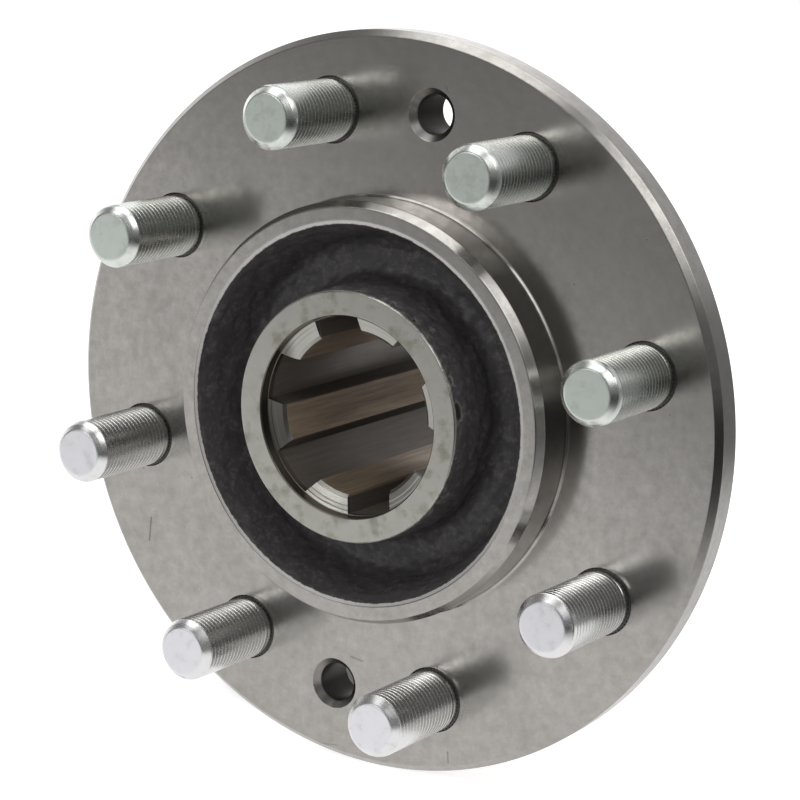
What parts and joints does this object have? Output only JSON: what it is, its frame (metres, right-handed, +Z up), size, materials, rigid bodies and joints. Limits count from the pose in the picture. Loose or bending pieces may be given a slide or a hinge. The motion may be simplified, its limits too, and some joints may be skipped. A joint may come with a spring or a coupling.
{
  "type": "wheel hub bearing",
  "caption": "Driven wheel hub: round flange with wheel studs, pilot ring and splined boss, turning in a sealed double-row taper roller bearing on its barrel.",
  "frame": {"origin": "on the spin axis, in the plane of the wheel seat (the flange's front face)", "axes": "Y is the spin axis and the wheel side faces -Y; +Z is up as pictured"},
  "size_m": [0.1905, 0.1018, 0.1904],
  "materials": {
    "hub_iron": "turned faces, rough black casting in the recess and behind",
    "stud_steel": "bright zinc plate",
    "bearing_steel": "ground",
    "roller_steel": "lapped",
    "cage_steel": "pressed sheet",
    "seal_case_steel": "pressed sheet",
    "seal_rubber": "moulded",
    "spring_steel": "phosphated"
  },
  "bodies": {
    "bearing_shell": {"bearing_outer_ring": "bearing_steel", "seal_case_outboard": "seal_case_steel", "seal_case_inboard": "seal_case_steel", "seal_lip_outboard": "seal_rubber", "seal_lip_inboard": "seal_rubber"},
    "rotating_hub": {"hub": "hub_iron", "stud_1": "stud_steel", "stud_2": "stud_steel", "stud_3": "stud_steel", "stud_4": "stud_steel", "stud_5": "stud_steel", "stud_6": "stud_steel", "stud_7": "stud_steel", "stud_8": "stud_steel", "bearing_inner_ring_outboard": "bearing_steel", "bearing_inner_ring_inboard": "bearing_steel", "retaining_ring": "spring_steel"},
    "roller_set_outboard": {"cage_outboard": "cage_steel", "rollers_outboard": "roller_steel"},
    "roller_set_inboard": {"cage_inboard": "cage_steel", "rollers_inboard": "roller_steel"}
  },
  "joints": [
    {"name": "hub_spin", "type": "hinge", "parent": "bearing_shell", "child": "rotating_hub", "pos_m": [0, 0, 0], "axis": [0, 1, 0], "continuous": true},
    {"name": "roller_set_outboard_spin", "type": "hinge", "parent": "bearing_shell", "child": "roller_set_outboard", "pos_m": [0, 0.032, 0], "axis": [0, 1, 0], "continuous": true},
    {"name": "roller_set_inboard_spin", "type": "hinge", "parent": "bearing_shell", "child": "roller_set_inboard", "pos_m": [0, 0.054, 0], "axis": [0, 1, 0], "continuous": true}
  ],
  "couplings": [
    {"joint": "roller_set_outboard_spin", "follows": "hub_spin", "ratio": 0.43153},
    {"joint": "roller_set_inboard_spin", "follows": "hub_spin", "ratio": 0.43153}
  ]
}
